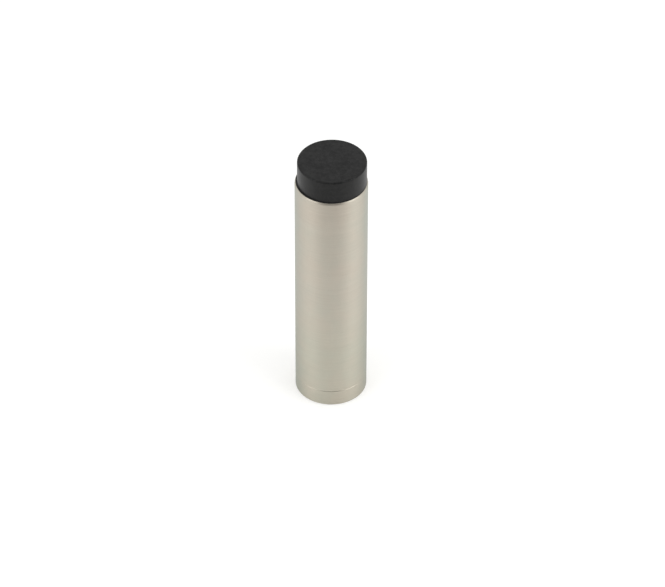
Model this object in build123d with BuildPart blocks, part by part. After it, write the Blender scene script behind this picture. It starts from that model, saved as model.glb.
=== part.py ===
import os

from build123d import *

# A cylindrical wall door stop. It stands on its wall face at Z = 0, with its axis on Z.
# Driving dimensions, in millimetres
overall_length = 80.0  # wall face to the end of the buffer
diameter = 20.0  # base and barrel, flush with each other
base_thickness = 5.0
buffer_stand_out = 6.9  # buffer beyond the barrel's rim

barrel_wall = 2.0
lip_wall = 0.3  # thin wall left round the buffer at the rim
seat_depth = 2.5  # rim down to the ledge that carries the buffer

# The screwed joint between base and barrel, drawn at the thread's mean diameter
thread_pitch = 1.0
thread_mean_rise = 0.35  # bore to mean diameter, per millimetre of pitch
thread_height = 0.61  # root to crest, per millimetre of pitch
thread_clearance = 0.05  # radial, spigot to socket
spigot_height = 7.0
socket_run_out = 1.5  # socket deeper than the spigot is high
relief_width = 1.2  # groove at the spigot's root, where the thread ends
thread_lead_in = 0.6  # chamfer that starts the thread, on spigot and socket

# The countersunk hole for the wall screw
screw_hole_diameter = 5.0
screw_head_diameter = 9.5
screw_head_angle = 90.0

# The buffer and its plug
buffer_gap = 0.2  # radial, buffer's head to lip, if the head were centred
buffer_off_centre = 0.92  # share of that gap by which the head sits towards +X
flange_clearance = 0.03  # radial, flange to lip; the flange fills the recess below the head
flange_drop = 0.12  # rim down to the top of the flange
plug_length = 9.0
plug_slack = 0.15  # radial, plug to bore between the barbs
barb_grip = 0.1  # radial, how far a barb is squeezed by the bore
barb_count = 3
barb_height = 1.5
barb_spacing = 2.4
plug_lead_in = 0.8

# Broken edges
foot_chamfer = 0.2
seam_chamfer = 0.09
rim_roll_height = 0.5  # the brushed rim leans in a little just below its edge
rim_roll_share = 0.73  # how far it leans in, as a share of the lip's wall
rim_round_share = 0.2  # radius of its edge, as a share of the lip's wall
buffer_round = 0.45

# Worked out from the sizes above
outer_radius = diameter / 2
bore_radius = outer_radius - barrel_wall
rim_height = overall_length - buffer_stand_out
seat_height = rim_height - seat_depth
seat_radius = outer_radius - lip_wall
rim_roll_width = rim_roll_share * lip_wall
rim_round = rim_round_share * lip_wall
spigot_radius = bore_radius + thread_mean_rise * thread_pitch / 2
socket_radius = spigot_radius + thread_clearance
spigot_top = base_thickness + spigot_height
head_radius = seat_radius - buffer_gap
head_shift = buffer_gap * buffer_off_centre
flange_radius = seat_radius - flange_clearance
flange_top = rim_height - flange_drop
plug_radius = bore_radius - plug_slack
barb_bottoms = [seat_height - barb_spacing * (i + 1) for i in range(barb_count)]

os.makedirs("parts", exist_ok=True)

# The turned base: a disc against the wall, and a spigot that the barrel screws on to
with BuildPart() as wall_base:
    with BuildSketch():
        Circle(outer_radius)
    extrude(amount=base_thickness)
    rings = wall_base.edges().filter_by(GeomType.CIRCLE).sort_by(Axis.Z)
    chamfer(rings[0], foot_chamfer)
    chamfer(rings[-1], seam_chamfer)
    with BuildSketch(Plane.XY.offset(base_thickness)):
        Circle(spigot_radius)
    extrude(amount=spigot_height)
    spigot_edge = wall_base.edges().filter_by(GeomType.CIRCLE).sort_by(Axis.Z)[-1]
    chamfer(spigot_edge, thread_lead_in)
    with BuildSketch(Plane.XY.offset(base_thickness)):
        Circle(spigot_radius)
        Circle(spigot_radius - thread_height * thread_pitch, mode=Mode.SUBTRACT)
    extrude(amount=relief_width, mode=Mode.SUBTRACT)
    with Locations((0, 0, spigot_top)):
        CounterSinkHole(
            radius=screw_hole_diameter / 2,
            counter_sink_radius=screw_head_diameter / 2,
            counter_sink_angle=screw_head_angle,
        )
wall_base.part.label = "wall_base"

# The turned barrel: a tube with a threaded socket below and a recess for the buffer above
with BuildPart() as barrel:
    with BuildSketch(Plane.XY.offset(base_thickness)):
        Circle(outer_radius)
        Circle(bore_radius, mode=Mode.SUBTRACT)
    extrude(amount=rim_height - base_thickness)
    with BuildSketch(Plane.XY.offset(rim_height)):
        Circle(seat_radius)
    extrude(amount=-seat_depth, mode=Mode.SUBTRACT)
    with BuildSketch(Plane.XY.offset(base_thickness)):
        Circle(socket_radius)
    extrude(amount=spigot_height + socket_run_out, mode=Mode.SUBTRACT)
    rings = barrel.edges().filter_by(GeomType.CIRCLE).group_by(Axis.Z)
    socket_mouth, seam_edge = rings[0].sort_by(SortBy.RADIUS)
    rim_edge = rings[-1].sort_by(SortBy.RADIUS)[-1]
    outer_face = barrel.faces().filter_by(GeomType.CYLINDER).sort_by(SortBy.AREA)[-1]
    chamfer(rim_edge, rim_roll_height, rim_roll_width, reference=outer_face)
    chamfer(socket_mouth, thread_lead_in)
    chamfer(seam_edge, seam_chamfer)
    rim_edge = barrel.edges().filter_by(GeomType.CIRCLE).group_by(Axis.Z)[-1].sort_by(SortBy.RADIUS)[-1]
    fillet(rim_edge, rim_round)
barrel.part.label = "barrel"

# The moulded buffer: a round head, a little off centre, on a flange that sits on the barrel's ledge, and a
# barbed plug in the bore
with BuildPart() as rubber_buffer:
    with BuildSketch(Plane.XY.offset(flange_top)):
        with Locations((head_shift, 0)):
            Circle(head_radius)
    extrude(amount=overall_length - flange_top)
    top_edge = rubber_buffer.edges().filter_by(GeomType.CIRCLE).sort_by(Axis.Z)[-1]
    fillet(top_edge, buffer_round)
    with BuildSketch(Plane.XY.offset(seat_height)):
        Circle(flange_radius)
    extrude(amount=flange_top - seat_height)
    with BuildSketch(Plane.XY.offset(seat_height)):
        Circle(plug_radius)
    extrude(amount=-plug_length)
    plug_end = rubber_buffer.edges().filter_by(GeomType.CIRCLE).sort_by(Axis.Z)[0]
    chamfer(plug_end, plug_lead_in)
    with Locations(*[(0, 0, bottom) for bottom in barb_bottoms]):
        Cone(
            bottom_radius=plug_radius,
            top_radius=bore_radius + barb_grip,
            height=barb_height,
            align=(Align.CENTER, Align.CENTER, Align.MIN),
        )
rubber_buffer.part.label = "rubber_buffer"

for piece in (wall_base, barrel, rubber_buffer):
    export_step(piece.part, f"parts/{piece.part.label}.step")
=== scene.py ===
import math

import bpy
from mathutils import Matrix, Vector


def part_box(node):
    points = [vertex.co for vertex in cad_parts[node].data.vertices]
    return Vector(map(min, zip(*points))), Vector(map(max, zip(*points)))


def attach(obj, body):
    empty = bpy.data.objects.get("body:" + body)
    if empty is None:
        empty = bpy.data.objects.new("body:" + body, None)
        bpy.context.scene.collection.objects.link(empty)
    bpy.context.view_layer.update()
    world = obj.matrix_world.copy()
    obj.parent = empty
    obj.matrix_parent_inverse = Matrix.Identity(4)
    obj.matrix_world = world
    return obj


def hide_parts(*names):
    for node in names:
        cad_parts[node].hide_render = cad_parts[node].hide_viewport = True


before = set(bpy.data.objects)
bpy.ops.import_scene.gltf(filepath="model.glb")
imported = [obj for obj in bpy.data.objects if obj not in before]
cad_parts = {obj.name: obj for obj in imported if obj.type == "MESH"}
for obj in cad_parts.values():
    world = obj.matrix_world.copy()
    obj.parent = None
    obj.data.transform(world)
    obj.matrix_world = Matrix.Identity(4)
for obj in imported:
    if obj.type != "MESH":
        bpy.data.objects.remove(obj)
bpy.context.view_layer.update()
scene = bpy.context.scene
mm = 0.001
white = (1.0, 1.0, 1.0)
print("frame loaded")


# small helpers for node trees

def feed(tree, socket, value):
    if isinstance(value, bpy.types.NodeSocket):
        tree.links.new(value, socket)
    else:
        socket.default_value = value


def addNode(tree, kind, values=None, **settings):
    # settings come first, because they decide which sockets there are
    node = tree.nodes.new(kind)
    for name, value in settings.items():
        setattr(node, name, value)
    for socket, value in (values or {}).items():
        feed(tree, node.inputs[socket], value)
    return node


def outOf(tree, kind, values=None, **settings):
    return addNode(tree, kind, values, **settings).outputs[0]


def calc(tree, operation, first, second):
    return outOf(tree, "ShaderNodeMath", {0: first, 1: second}, operation=operation)


def measure(tree, operation, first, second):
    node = addNode(tree, "ShaderNodeVectorMath", {0: first, 1: second}, operation=operation)
    return node.outputs["Value"]


def compare(tree, operation, value, limit):
    return outOf(tree, "FunctionNodeCompare", {0: value, 1: limit}, operation=operation)


def remap(tree, value, fromLow, fromHigh, toLow, toHigh):
    limits = {"From Min": fromLow, "From Max": fromHigh, "To Min": toLow, "To Max": toHigh}
    return addNode(tree, "ShaderNodeMapRange", {"Value": value, **limits}).outputs["Result"]


def weigh(tree, first, second, share):
    # share of the first, and the rest of the second
    part = calc(tree, "MULTIPLY", first, share)
    rest = calc(tree, "MULTIPLY", second, 1.0 - share)
    return calc(tree, "ADD", part, rest)


def objectPlace(tree):
    return addNode(tree, "ShaderNodeTexCoord").outputs["Object"]


def split(tree, place):
    return addNode(tree, "ShaderNodeSeparateXYZ", {"Vector": place}).outputs


def placeParts(tree, place):
    # the place's parts, what of it is square to the axis, and how long that is
    parts = split(tree, place)
    flat = outOf(tree, "ShaderNodeCombineXYZ", {"X": parts["X"], "Y": parts["Y"]})
    radius = addNode(tree, "ShaderNodeVectorMath", {0: flat}, operation="LENGTH").outputs["Value"]
    return parts, flat, radius


# shader groups, shared by the finishes: all that they put out lies round the noise's middle
noiseMiddle = 0.5
noiseLow = 0.3  # nearly all of it lies between these two
noiseHigh = 0.7


def newGroup(name, inputs, output):
    group = bpy.data.node_groups.new(name, "ShaderNodeTree")
    for label in inputs:
        group.interface.new_socket(label, in_out="INPUT", socket_type="NodeSocketFloat")
    group.interface.new_socket(output, in_out="OUTPUT", socket_type="NodeSocketFloat")
    given = group.nodes.new("NodeGroupInput").outputs
    result = group.nodes.new("NodeGroupOutput").inputs[output]
    return group, given, result


def noiseLayer(group, place, scale, detail, roughness):
    values = {"Vector": place, "Scale": scale, "Detail": detail, "Roughness": roughness}
    return addNode(group, "ShaderNodeTexNoise", values).outputs["Fac"]


patchNoise = {"largeDetail": 3.0, "smallDetail": 2.0, "roughness": 0.55}


def mottleGroup():
    # soft uneven patches, in two sizes given in mm, with the small ones' share
    group, given, result = newGroup("unevenPatches", ["Large", "Small", "Share"], "Patches")
    place = objectPlace(group)
    layers = []
    for label, detail in (("Large", patchNoise["largeDetail"]), ("Small", patchNoise["smallDetail"])):
        scale = calc(group, "DIVIDE", 1.0 / mm, given[label])
        layers.append(noiseLayer(group, place, scale, detail, patchNoise["roughness"]))
    mix = addNode(group, "ShaderNodeMix", {"Factor": given["Share"], "A": layers[0], "B": layers[1]})
    group.links.new(mix.outputs["Result"], result)
    return group


lineNoise = {
    "straightness": 8.0,  # how much longer the lines are than the stretches that they fade over
    "fadeWidth": 3.0,  # how many lines fade together
    "fadeLow": 0.35, "fadeHigh": 0.65, "weakest": 0.2, "strongest": 1.8,
    "detail": 2.0, "roughness": 0.6,
}


def turnedLinesGroup():
    # lines left by brushing on a lathe, in mm: they run round the axis and fade in and out
    group, given, result = newGroup("turnedLines", ["Line Width", "Line Length"], "Lines")
    parts, _, radius = placeParts(group, objectPlace(group))
    across = calc(group, "ADD", parts["Z"], radius)
    along = calc(group, "DIVIDE", 1.0 / mm, given["Line Length"])
    fine = calc(group, "DIVIDE", 1.0 / mm, given["Line Width"])
    layers = []
    for reach, broad in ((lineNoise["straightness"], 1.0), (1.0, lineNoise["fadeWidth"])):
        drawnOut = calc(group, "DIVIDE", along, reach)
        stretched = outOf(group, "ShaderNodeCombineXYZ", {
            "X": calc(group, "MULTIPLY", parts["X"], drawnOut),
            "Y": calc(group, "MULTIPLY", parts["Y"], drawnOut),
            "Z": calc(group, "MULTIPLY", across, calc(group, "DIVIDE", fine, broad)),
        })
        layers.append(noiseLayer(group, stretched, 1.0, lineNoise["detail"], lineNoise["roughness"]))
    fade = remap(group, layers[1], lineNoise["fadeLow"], lineNoise["fadeHigh"],
                 lineNoise["weakest"], lineNoise["strongest"])
    lines = calc(group, "MULTIPLY", calc(group, "SUBTRACT", layers[0], noiseMiddle), fade)
    group.links.new(calc(group, "ADD", lines, noiseMiddle), result)
    return group


unevenPatches = mottleGroup()
turnedLines = turnedLinesGroup()


# helpers for the finishes

def emptyTree(block):
    block.use_nodes = True
    block.node_tree.nodes.clear()
    return block.node_tree


def closeFinish(tree, looks):
    shader = outOf(tree, "ShaderNodeBsdfPrincipled", looks)
    addNode(tree, "ShaderNodeOutputMaterial", {"Surface": shader})


def patchLayer(tree, large, small, share):
    values = {"Large": large, "Small": small, "Share": share}
    return outOf(tree, "ShaderNodeGroup", values, node_tree=unevenPatches)


def lineLayer(tree, width, length):
    values = {"Line Width": width, "Line Length": length}
    return outOf(tree, "ShaderNodeGroup", values, node_tree=turnedLines)


def swing(tree, noise, reach):
    # noise made into a change of up to reach, either way
    return remap(tree, noise, noiseLow, noiseHigh, -reach, reach)


def colourMix(tree, factor, first, second):
    values = {"Factor": factor, "A": (*first, 1.0), "B": (*second, 1.0)}
    return addNode(tree, "ShaderNodeMix", values, data_type="RGBA").outputs["Result"]


def tinted(tree, colour, tint):
    return outOf(tree, "ShaderNodeVectorMath", {0: colour, 1: tint}, operation="MULTIPLY")


def bumps(tree, relief, depth, strength):
    values = {"Strength": strength, "Distance": depth * mm, "Height": relief}
    return outOf(tree, "ShaderNodeBump", values)


# satin nickel plate, brushed round the axis; lengths in mm
nickel = {
    "dark": (0.448, 0.413, 0.35), "light": (0.534, 0.493, 0.422),
    "fineLine": 0.12, "fineLength": 2.5,
    "streak": 0.35, "streakLength": 9.0,
    "patchLarge": 9.0, "patchSmall": 1.6, "smallShare": 0.4,
    "fineShare": 0.6,  # fine lines, the rest streaks
    "lineShare": 0.7,  # lines of both kinds, the rest patches
    "coolTint": (0.98, 1.002, 1.005), "warmTint": (1.02, 0.998, 0.995),  # the plate's hue wanders a little
    "hueLarge": 14.0, "hueSmall": 5.0, "hueLow": 0.38, "hueHigh": 0.62,
    "footTint": (0.976, 1.0, 0.98), "footFrom": 18.0, "footTo": 40.0,  # a little greener towards the foot
    "roughness": 0.42, "streakRough": 0.06, "patchRough": 0.03,
    "anisotropy": 0.75, "anisotropyTurn": 0.25,
    "grazingTint": (0.645, 0.745, 0.785),
    "lineDepth": 0.004, "bumpStrength": 0.3,
}


def nickelFinish():
    finish = bpy.data.materials.new("satinNickel")
    tree = emptyTree(finish)
    fine = lineLayer(tree, nickel["fineLine"], nickel["fineLength"])
    streak = lineLayer(tree, nickel["streak"], nickel["streakLength"])
    patches = patchLayer(tree, nickel["patchLarge"], nickel["patchSmall"], nickel["smallShare"])
    hue = patchLayer(tree, nickel["hueLarge"], nickel["hueSmall"], nickel["smallShare"])
    lines = weigh(tree, fine, streak, nickel["fineShare"])
    tone = weigh(tree, lines, patches, nickel["lineShare"])
    tone = remap(tree, tone, noiseLow, noiseHigh, 0.0, 1.0)
    colour = colourMix(tree, tone, nickel["dark"], nickel["light"])
    warm = remap(tree, hue, nickel["hueLow"], nickel["hueHigh"], 0.0, 1.0)
    colour = tinted(tree, colour, colourMix(tree, warm, nickel["coolTint"], nickel["warmTint"]))
    height = split(tree, objectPlace(tree))["Z"]
    low = remap(tree, height, nickel["footFrom"] * mm, nickel["footTo"] * mm, 1.0, 0.0)
    colour = tinted(tree, colour, colourMix(tree, low, white, nickel["footTint"]))
    uneven = swing(tree, streak, nickel["streakRough"])
    uneven = calc(tree, "ADD", uneven, swing(tree, patches, nickel["patchRough"]))
    closeFinish(tree, {
        "Base Color": colour,
        "Metallic": 1.0,
        "Roughness": calc(tree, "ADD", uneven, nickel["roughness"]),
        "Specular Tint": (*nickel["grazingTint"], 1.0),
        "Anisotropic": nickel["anisotropy"],
        "Anisotropic Rotation": nickel["anisotropyTurn"],
        "Tangent": outOf(tree, "ShaderNodeTangent", direction_type="RADIAL", axis="Z"),
        "Normal": bumps(tree, lines, nickel["lineDepth"], nickel["bumpStrength"]),
    })
    return finish


# black moulded rubber, matt; lengths in mm
rubber = {
    "dark": (0.0, 0.0, 0.0), "light": (0.0146, 0.0146, 0.0144),
    "patchLarge": 6.0, "patch": 1.2, "patchShare": 0.6,
    "grain": 0.3, "grainShare": 0.7,
    "mottle": 0.5,  # patches, the rest grain
    "toneLow": 0.4, "toneHigh": 0.6,
    "face": 79.3, "faceBlend": 0.5, "wallCalm": 0.5,  # the moulded wall below the face is calmer
    "roughness": 0.42, "grainRough": 0.08,
    "specular": 0.21,
    "grainDepth": 0.03, "bumpStrength": 0.4,
}


def rubberFinish():
    finish = bpy.data.materials.new("blackRubber")
    tree = emptyTree(finish)
    patches = patchLayer(tree, rubber["patchLarge"], rubber["patch"], rubber["patchShare"])
    grain = patchLayer(tree, rubber["patch"], rubber["grain"], rubber["grainShare"])
    height = split(tree, objectPlace(tree))["Z"]
    wallTop = rubber["face"] * mm
    faceLow = (rubber["face"] + rubber["faceBlend"]) * mm
    contrast = remap(tree, height, wallTop, faceLow, rubber["wallCalm"], 1.0)
    tone = weigh(tree, patches, grain, rubber["mottle"])
    tone = remap(tree, tone, rubber["toneLow"], rubber["toneHigh"], -noiseMiddle, noiseMiddle)
    tone = calc(tree, "ADD", calc(tree, "MULTIPLY", tone, contrast), noiseMiddle)
    uneven = calc(tree, "MULTIPLY", swing(tree, grain, rubber["grainRough"]), contrast)
    relief = calc(tree, "MULTIPLY", grain, contrast)
    closeFinish(tree, {
        "Base Color": colourMix(tree, tone, rubber["dark"], rubber["light"]),
        "Roughness": calc(tree, "ADD", uneven, rubber["roughness"]),
        "Specular IOR Level": rubber["specular"],
        "Normal": bumps(tree, relief, rubber["grainDepth"], rubber["bumpStrength"]),
    })
    return finish


satinNickel = nickelFinish()
blackRubber = rubberFinish()
print("finishes made")


# the screwed joint, the same on the base's spigot and in the barrel's socket
screwJoint = {
    "pitch": 1.0 * mm, "height": 0.61 * mm, "meanRadius": 8.175 * mm, "clearance": 0.05 * mm,
    "leadIn": 0.6 * mm, "stepsPerPitch": 16,
    "flatShare": 0.06,  # half the flat at crest and root, as a share of the pitch
}
threadStep = screwJoint["pitch"] / screwJoint["stepsPerPitch"]


# turning: a profile, drawn upright beside the axis, is rounded at its corners and carried round Z
mergeDistance = 0.002 * mm
sharpAngle = math.radians(38.0)  # steeper edges stay crisp, apart from those at marked points
halfMarked = 0.5  # points above this are taken as marked


def turningTree(name, sizes):
    tree = bpy.data.node_groups.new(name, "GeometryNodeTree")
    tree.interface.new_socket("Piece", in_out="OUTPUT", socket_type="NodeSocketGeometry")
    tree.interface.new_socket("Profile", in_out="INPUT", socket_type="NodeSocketGeometry")
    for label, value in sizes.items():
        kind = "NodeSocketInt" if isinstance(value, int) else "NodeSocketFloat"
        tree.interface.new_socket(label, in_out="INPUT", socket_type=kind)
    tree.interface.new_socket("Finish", in_out="INPUT", socket_type="NodeSocketMaterial")
    return tree, tree.nodes.new("NodeGroupInput").outputs


def layer(tree, name):
    node = addNode(tree, "GeometryNodeInputNamedAttribute", {"Name": name}, data_type="FLOAT")
    return node.outputs["Attribute"]


def markedPoints(tree):
    return compare(tree, "GREATER_THAN", layer(tree, "mark"), halfMarked)


def carryRound(tree, given):
    line = outOf(tree, "GeometryNodeMeshToCurve", {"Mesh": given["Profile"]})
    line = outOf(tree, "GeometryNodeFilletCurve", {
        "Curve": line, "Count": given["Corner Steps"], "Radius": layer(tree, "rounding"),
        "Limit Radius": True}, mode="POLY")
    inward = calc(tree, "MULTIPLY", given["Outer Radius"], -1.0)
    offset = outOf(tree, "ShaderNodeCombineXYZ", {"X": inward})
    line = outOf(tree, "GeometryNodeTransform", {
        "Geometry": line, "Translation": offset, "Rotation": (math.pi / 2, 0.0, 0.0)})
    path = outOf(tree, "GeometryNodeCurvePrimitiveCircle", {
        "Resolution": given["Segments"], "Radius": given["Outer Radius"]})
    skin = outOf(tree, "GeometryNodeCurveToMesh", {"Curve": path, "Profile Curve": line})
    return outOf(tree, "GeometryNodeMergeByDistance", {"Geometry": skin, "Distance": mergeDistance})


def meshPlace(tree):
    return outOf(tree, "GeometryNodeInputPosition")


def threadRadius(tree, given, parts):
    # right-hand thread: one pitch of rise in one turn, flanks cut flat at crest and root
    half = 0.5
    flat = screwJoint["flatShare"]
    turn = calc(tree, "DIVIDE", calc(tree, "ARCTAN2", parts["Y"], parts["X"]), 2 * math.pi)
    phase = calc(tree, "SUBTRACT", calc(tree, "DIVIDE", parts["Z"], given["Pitch"]), turn)
    flank = calc(tree, "PINGPONG", phase, half)
    flank = remap(tree, flank, flat, half - flat, -half, half)
    rise = calc(tree, "MULTIPLY", flank, given["Thread Height"])
    return calc(tree, "ADD", given["Mean Radius"], rise)


def setRadius(tree, skin, parts, flat, radius, newRadius):
    ratio = calc(tree, "DIVIDE", newRadius, radius)
    scaled = outOf(tree, "ShaderNodeVectorMath", {0: flat, "Scale": ratio}, operation="SCALE")
    height = outOf(tree, "ShaderNodeCombineXYZ", {"Z": parts["Z"]})
    place = outOf(tree, "ShaderNodeVectorMath", {0: scaled, 1: height}, operation="ADD")
    return outOf(tree, "GeometryNodeSetPosition", {
        "Geometry": skin, "Selection": markedPoints(tree), "Position": place})


def closeTree(tree, given, skin):
    skin = outOf(tree, "GeometryNodeSetShadeSmooth", {"Geometry": skin})
    angle = addNode(tree, "GeometryNodeInputMeshEdgeAngle").outputs["Unsigned Angle"]
    sharp = compare(tree, "GREATER_THAN", angle, sharpAngle)
    plain = compare(tree, "LESS_THAN", layer(tree, "mark"), halfMarked)
    crisp = outOf(tree, "FunctionNodeBooleanMath", {0: sharp, 1: plain}, operation="AND")
    skin = outOf(tree, "GeometryNodeSetShadeSmooth", {
        "Geometry": skin, "Selection": crisp, "Shade Smooth": False}, domain="EDGE")
    for name in ("rounding", "mark"):
        skin = outOf(tree, "GeometryNodeRemoveAttribute", {"Geometry": skin, "Name": name})
    skin = outOf(tree, "GeometryNodeRealizeInstances", {"Geometry": skin})
    skin = outOf(tree, "GeometryNodeSetMaterial", {"Geometry": skin, "Material": given["Finish"]})
    tree.links.new(skin, tree.nodes.new("NodeGroupOutput").inputs[0])


def turnPiece(name, corners, closed, tree, sizes, finish):
    # corners: radius, height, rounding, and 1 for those that the tree moves after the turning
    profile = bpy.data.meshes.new(name + "Profile")
    lines = [(i, i + 1) for i in range(len(corners) - 1)]
    if closed:
        lines.append((len(corners) - 1, 0))
    profile.from_pydata([(c[0], 0.0, c[1]) for c in corners], lines, [])
    for label, column in (("rounding", 2), ("mark", 3)):
        values = profile.attributes.new(label, "FLOAT", "POINT")
        values.data.foreach_set("value", [float(c[column]) for c in corners])
    piece = bpy.data.objects.new(name, profile)
    scene.collection.objects.link(piece)
    modifier = piece.modifiers.new("turning", "NODES")
    modifier.node_group = tree
    wanted = dict(sizes, Finish=finish)
    for item in tree.interface.items_tree:
        if item.in_out == "INPUT" and item.name in wanted:
            modifier[item.identifier] = wanted[item.name]
    turned = bpy.data.meshes.new_from_object(piece.evaluated_get(bpy.context.evaluated_depsgraph_get()))
    piece.modifiers.remove(modifier)
    piece.data = turned
    turned.name = name
    bpy.data.meshes.remove(profile)
    return piece


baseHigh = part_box("wall_base")[1]
barrelLow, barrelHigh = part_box("barrel")
bufferLow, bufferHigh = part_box("rubber_buffer")
outerRadius = barrelHigh.x
seam = barrelLow.z


# the base: a disc on the wall with a threaded spigot and a countersunk screw hole
base = {
    "footChamfer": 0.2 * mm, "seamChamfer": 0.09 * mm, "edge": 0.03 * mm,
    "reliefWidth": 1.2 * mm, "screwHole": 2.5 * mm, "screwHead": 4.75 * mm,
    "hold": 0.4 * mm,  # narrow strips beside the edges, which keep the shading of the wall even
    "segments": 240, "cornerSteps": 5,
}


def makeBase():
    top = baseHigh.z
    spigot = screwJoint["meanRadius"]
    spigotEnd = spigot - screwJoint["leadIn"]
    relief = spigot - screwJoint["height"]
    reliefTop = seam + base["reliefWidth"]
    hold = base["hold"]
    edge = base["edge"]
    corners = [(base["screwHead"], top, edge, 0)]
    steps = round((top - reliefTop) / threadStep)
    for i in range(steps + 1):
        height = top + (reliefTop - top) * i / steps
        corners.append((min(spigot, spigotEnd + top - height), height, 0, 1))
    corners += [
        (relief, reliefTop, edge, 0),
        (relief, seam, 2 * edge, 0),
        (outerRadius - base["seamChamfer"], seam, edge, 0),
        (outerRadius, seam - base["seamChamfer"], edge, 0),
        (outerRadius, seam - base["seamChamfer"] - hold, 0, 0),
        (outerRadius, base["footChamfer"] + hold, 0, 0),
        (outerRadius, base["footChamfer"], edge, 0),
        (outerRadius - base["footChamfer"], 0.0, edge, 0),
        (base["screwHole"], 0.0, edge, 0),
        (base["screwHole"], top - base["screwHead"] + base["screwHole"], edge, 0),
    ]
    sizes = {
        "Outer Radius": outerRadius, "Segments": base["segments"], "Corner Steps": base["cornerSteps"],
        "Pitch": screwJoint["pitch"], "Thread Height": screwJoint["height"], "Mean Radius": spigot,
        "End Radius": spigotEnd, "End Height": top,
    }
    tree, given = turningTree("turnedBase", sizes)
    skin = carryRound(tree, given)
    parts, flat, radius = placeParts(tree, meshPlace(tree))
    below = calc(tree, "SUBTRACT", given["End Height"], parts["Z"])
    cone = calc(tree, "ADD", given["End Radius"], below)
    newRadius = calc(tree, "MINIMUM", threadRadius(tree, given, parts), cone)
    skin = setRadius(tree, skin, parts, flat, radius, newRadius)
    closeTree(tree, given, skin)
    return turnPiece("base_turned", corners, True, tree, sizes, satinNickel)


# the barrel: a tube with a threaded socket below and a thin lip round the buffer above
barrel = {
    "wall": 2.0 * mm, "lipWall": 0.3 * mm, "seatDepth": 2.5 * mm,
    "rollHeight": 0.5 * mm, "rollWidth": 0.219 * mm, "rollRadius": 1.2 * mm, "rimRound": 0.06 * mm,
    "seamChamfer": 0.09 * mm, "edge": 0.03 * mm,
    "socketDepth": 8.5 * mm, "runOut": 0.5 * mm,  # the thread ends a little below the socket's top
    "hold": 0.6 * mm,
    "segments": 240, "cornerSteps": 5,
}


def makeBarrel():
    rim = barrelHigh.z
    seat = rim - barrel["seatDepth"]
    lip = outerRadius - barrel["lipWall"]
    bore = outerRadius - barrel["wall"]
    socket = screwJoint["meanRadius"] + screwJoint["clearance"]
    mouth = socket + screwJoint["leadIn"]
    socketTop = seam + barrel["socketDepth"]
    hold = barrel["hold"]
    edge = barrel["edge"]
    corners = [
        (lip, rim, edge, 0),
        (outerRadius - barrel["rollWidth"], rim, barrel["rimRound"], 0),
        (outerRadius, rim - barrel["rollHeight"], barrel["rollRadius"], 0),
        (outerRadius, rim - barrel["rollHeight"] - 2 * hold, 0, 0),
        (outerRadius, seam + hold, 0, 0),
        (outerRadius, seam + barrel["seamChamfer"], edge, 0),
        (outerRadius - barrel["seamChamfer"], seam, edge, 0),
    ]
    steps = round(barrel["socketDepth"] / threadStep)
    for i in range(steps + 1):
        rise = barrel["socketDepth"] * i / steps
        threaded = rise < barrel["socketDepth"] - barrel["runOut"]
        corners.append((max(socket, mouth - rise), seam + rise, 0, int(threaded)))
    corners += [
        (bore, socketTop, 0, 0),
        (bore, socketTop + hold, 0, 0),
        (bore, seat - hold, 0, 0),
        (bore, seat, 2 * edge, 0),
        (lip, seat, edge, 0),
        (lip, seat + hold, 0, 0),
    ]
    sizes = {
        "Outer Radius": outerRadius, "Segments": barrel["segments"], "Corner Steps": barrel["cornerSteps"],
        "Pitch": screwJoint["pitch"], "Thread Height": screwJoint["height"], "Mean Radius": socket,
        "Mouth Radius": mouth, "Mouth Height": seam, "Bore Radius": bore,
    }
    tree, given = turningTree("turnedBarrel", sizes)
    skin = carryRound(tree, given)
    parts, flat, radius = placeParts(tree, meshPlace(tree))
    above = calc(tree, "SUBTRACT", parts["Z"], given["Mouth Height"])
    cone = calc(tree, "SUBTRACT", given["Mouth Radius"], above)
    widest = calc(tree, "MAXIMUM", cone, given["Bore Radius"])
    newRadius = calc(tree, "MAXIMUM", threadRadius(tree, given, parts), widest)
    skin = setRadius(tree, skin, parts, flat, radius, newRadius)
    closeTree(tree, given, skin)
    return turnPiece("barrel_turned", corners, True, tree, sizes, satinNickel)


# the buffer: a moulded head, a flange that sits on the barrel's ledge, and a barbed plug below it
buffer = {
    "round": 0.45 * mm, "edge": 0.05 * mm, "hold": 0.3 * mm,
    "headRadius": 9.5 * mm, "headShift": 0.184 * mm,  # the head sits a little to one side
    "flangeDrop": 0.12 * mm,  # the flange fills the recess to just below the rim
    "plugRadius": 7.85 * mm, "barbRadius": 8.1 * mm,
    "barbCount": 3, "barbHeight": 1.5 * mm, "barbSpacing": 2.4 * mm, "plugLeadIn": 0.8 * mm,
    "segments": 240, "cornerSteps": 8,
}


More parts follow.
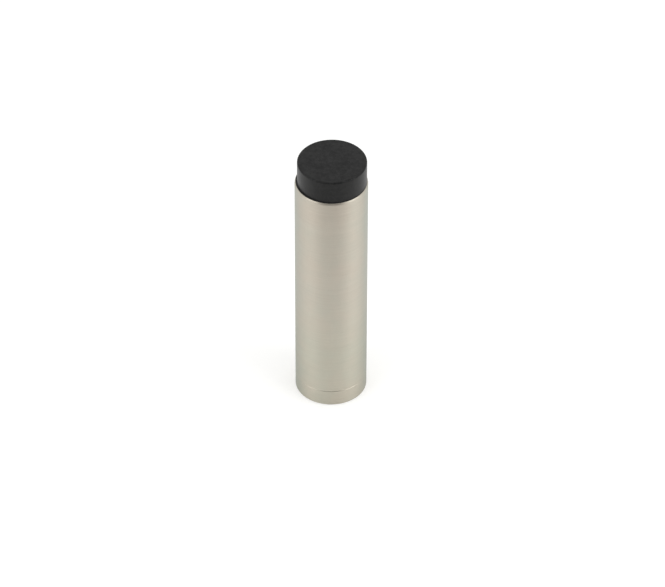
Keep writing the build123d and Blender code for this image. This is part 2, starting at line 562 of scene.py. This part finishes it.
def makeBuffer():
    # marked corners are the head's, which is moved to the side
    top = bufferHigh.z
    end = bufferLow.z
    head = buffer["headRadius"]
    seat = barrelHigh.z - barrel["seatDepth"]
    flange = bufferHigh.y
    flangeTop = barrelHigh.z - buffer["flangeDrop"]
    plug = buffer["plugRadius"]
    edge = buffer["edge"]
    hold = buffer["hold"]
    corners = [
        (0.0, top, 0, 1),
        (head - buffer["round"] - hold, top, 0, 1),
        (head, top, buffer["round"], 1),
        (head, top - buffer["round"] - hold, 0, 1),
        (head, flangeTop + hold, 0, 1),
        (head, flangeTop, 0, 1),
        (flange, flangeTop, 0, 0),
        (flange, flangeTop - hold, 0, 0),
        (flange, seat + hold, 0, 0),
        (flange, seat, edge, 0),
        (plug, seat, edge, 0),
    ]
    for i in range(buffer["barbCount"]):
        bottom = seat - buffer["barbSpacing"] * (i + 1)
        corners += [
            (plug, bottom + buffer["barbHeight"], edge, 0),
            (buffer["barbRadius"], bottom + buffer["barbHeight"], edge, 0),
            (plug, bottom, edge, 0),
        ]
    corners += [
        (plug, end + buffer["plugLeadIn"], edge, 0),
        (plug - buffer["plugLeadIn"], end, edge, 0),
        (0.0, end, 0, 0),
    ]
    sizes = {
        "Outer Radius": outerRadius, "Segments": buffer["segments"], "Corner Steps": buffer["cornerSteps"],
        "Head Shift": buffer["headShift"],
    }
    tree, given = turningTree("mouldedBuffer", sizes)
    offset = outOf(tree, "ShaderNodeCombineXYZ", {"X": given["Head Shift"]})
    skin = outOf(tree, "GeometryNodeSetPosition", {
        "Geometry": carryRound(tree, given), "Selection": markedPoints(tree), "Offset": offset})
    closeTree(tree, given, skin)
    return turnPiece("buffer_moulded", corners, False, tree, sizes, blackRubber)


pieces = [
    (makeBase(), "base", "wall_base", "satin_nickel"),
    (makeBarrel(), "barrel", "barrel", "satin_nickel"),
    (makeBuffer(), "barrel", "rubber_buffer", "black_rubber"),
]
for piece, body, node, slot in pieces:
    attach(piece, body)
    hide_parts(node)
    print("made", piece.name, "with", len(piece.data.polygons), "faces")


# the stage: pale floor and white surround; metres and degrees
stage = {
    "floorSize": 4.0, "floorColour": (0.8, 0.8, 0.79), "floorGlow": 0.28, "roomLight": 0.86,
    "mirrorGlow": 0.42,  # the floor's glow, as the metal mirrors it
    "paintedShadowGlow": 0.13,  # painted shadow: less of it behind the object's foot
    "paintedShadowBehind": 0.027, "paintedShadowFrom": 0.02, "paintedShadowTo": 0.045,
    "dimLevel": 0.2,  # what is mirrored is dimmer on the camera's side
    "dimElevation": 12.0, "dimWidth": 60.0, "dimCore": 24.0,  # of the room, round this direction
    "dimFrom": 0.05, "dimTo": 0.5,  # of the floor, between these distances
}


def seenRays(tree):
    # straight from the camera, and mirrored by the object
    path = addNode(tree, "ShaderNodeLightPath").outputs
    return path["Is Camera Ray"], calc(tree, "MAXIMUM", path["Is Glossy Ray"], path["Is Transmission Ray"])


def makeFloor():
    half = stage["floorSize"] / 2
    mesh = bpy.data.meshes.new("floor")
    corners = [(-half, -half, 0), (half, -half, 0), (half, half, 0), (-half, half, 0)]
    mesh.from_pydata(corners, [], [(0, 1, 2, 3)])
    floor = bpy.data.objects.new("floor", mesh)
    scene.collection.objects.link(floor)
    paper = bpy.data.materials.new("palePaper")
    tree = emptyTree(paper)
    direct, mirrored = seenRays(tree)
    place = objectPlace(tree)
    # painted shadow: round a point behind the foot the mirrored glow is turned down, standing in for the
    # object's own shadow on the floor
    behind = (0.0, stage["paintedShadowBehind"], 0.0)
    away = measure(tree, "DISTANCE", place, behind)
    mirrorGlow = remap(tree, away, stage["paintedShadowFrom"], stage["paintedShadowTo"],
                       stage["paintedShadowGlow"], stage["mirrorGlow"])
    directPart = calc(tree, "MULTIPLY", direct, stage["floorGlow"])
    mirroredPart = calc(tree, "MULTIPLY", mirrored, mirrorGlow)
    diffuse = outOf(tree, "ShaderNodeBsdfDiffuse", {"Color": (*stage["floorColour"], 1.0)})
    glow = outOf(tree, "ShaderNodeEmission", {"Strength": calc(tree, "ADD", directPart, mirroredPart)})
    both = outOf(tree, "ShaderNodeAddShader", {0: diffuse, 1: glow})
    depth = split(tree, place)["Y"]
    dim = remap(tree, depth, -stage["dimTo"], -stage["dimFrom"], 1.0 - stage["dimLevel"], 0.0)
    seen = outOf(tree, "ShaderNodeMixShader", {0: calc(tree, "MULTIPLY", mirrored, dim), 1: both})
    addNode(tree, "ShaderNodeOutputMaterial", {"Surface": seen})
    mesh.materials.append(paper)


def makeRoom():
    room = bpy.data.worlds.new("whiteRoom")
    tree = emptyTree(room)
    rise = math.radians(stage["dimElevation"])
    towards = (0.0, -math.cos(rise), math.sin(rise))
    ray = addNode(tree, "ShaderNodeTexCoord").outputs["Generated"]
    facing = measure(tree, "DOT_PRODUCT", ray, towards)
    wide = math.cos(math.radians(stage["dimWidth"]))
    near = math.cos(math.radians(stage["dimCore"]))
    shade = remap(tree, facing, wide, near, 1.0, stage["dimLevel"])
    direct, mirrored = seenRays(tree)
    seen = calc(tree, "MAXIMUM", direct, calc(tree, "MULTIPLY", mirrored, shade))
    plain = calc(tree, "SUBTRACT", 1.0, calc(tree, "MAXIMUM", direct, mirrored))
    strength = calc(tree, "ADD", seen, calc(tree, "MULTIPLY", plain, stage["roomLight"]))
    light = outOf(tree, "ShaderNodeBackground", {"Color": (*white, 1.0), "Strength": strength})
    addNode(tree, "ShaderNodeOutputWorld", {"Surface": light})
    scene.world = room


# soft lamps: distance and height of their middles and their size, in metres
lamps = {
    "distance": 0.45, "height": 0.28, "width": 0.35, "tall": 0.4,
    "leftPanel": {"azimuth": -57.0, "watts": 0.55},  # degrees from the camera's side
    "rightPanel": {"azimuth": 64.0, "watts": 0.8},
}


def makeLamp(name):
    turn = math.radians(lamps[name]["azimuth"])
    place = Vector((math.sin(turn), -math.cos(turn), 0.0)) * lamps["distance"]
    place += Vector((0.0, 0.0, lamps["height"]))
    data = bpy.data.lights.new(name, "AREA")
    data.shape = "RECTANGLE"
    data.size = lamps["width"]
    data.size_y = lamps["tall"]
    data.energy = lamps[name]["watts"]
    panel = bpy.data.objects.new(name, data)
    panel.matrix_world = Matrix.Translation(place) @ place.to_track_quat("Z", "Y").to_matrix().to_4x4()
    panel.visible_camera = False
    scene.collection.objects.link(panel)


# the camera, found from the object's outline in the picture; metres and degrees, lens and sensor in mm
cameraView = {
    "distance": 1.1065, "elevation": 40.92, "aimHeight": 0.03272,
    "lens": 216.0, "sensor": 36.0, "turn": -0.0195, "roll": 0.113,
    "nearest": 0.01, "farthest": 50.0,
}


def makeCamera():
    rise = math.radians(cameraView["elevation"])
    away = cameraView["distance"]
    data = bpy.data.cameras.new("camera")
    data.lens = cameraView["lens"]
    data.sensor_fit = "HORIZONTAL"
    data.sensor_width = cameraView["sensor"]
    data.clip_start = cameraView["nearest"]
    data.clip_end = cameraView["farthest"]
    camera = bpy.data.objects.new("camera", data)
    place = Vector((0.0, -away * math.cos(rise), cameraView["aimHeight"] + away * math.sin(rise)))
    tilt = Matrix.Rotation(math.pi / 2 - rise, 4, "X")
    turn = Matrix.Rotation(math.radians(cameraView["turn"]), 4, "Y")
    roll = Matrix.Rotation(math.radians(cameraView["roll"]), 4, "Z")
    camera.matrix_world = Matrix.Translation(place) @ tilt @ turn @ roll
    scene.collection.objects.link(camera)
    scene.camera = camera


makeFloor()
makeRoom()
makeLamp("leftPanel")
makeLamp("rightPanel")
makeCamera()
scene.view_settings.view_transform = "Standard"
print("stage, lamps and camera set")

bpy.context.view_layer.update()
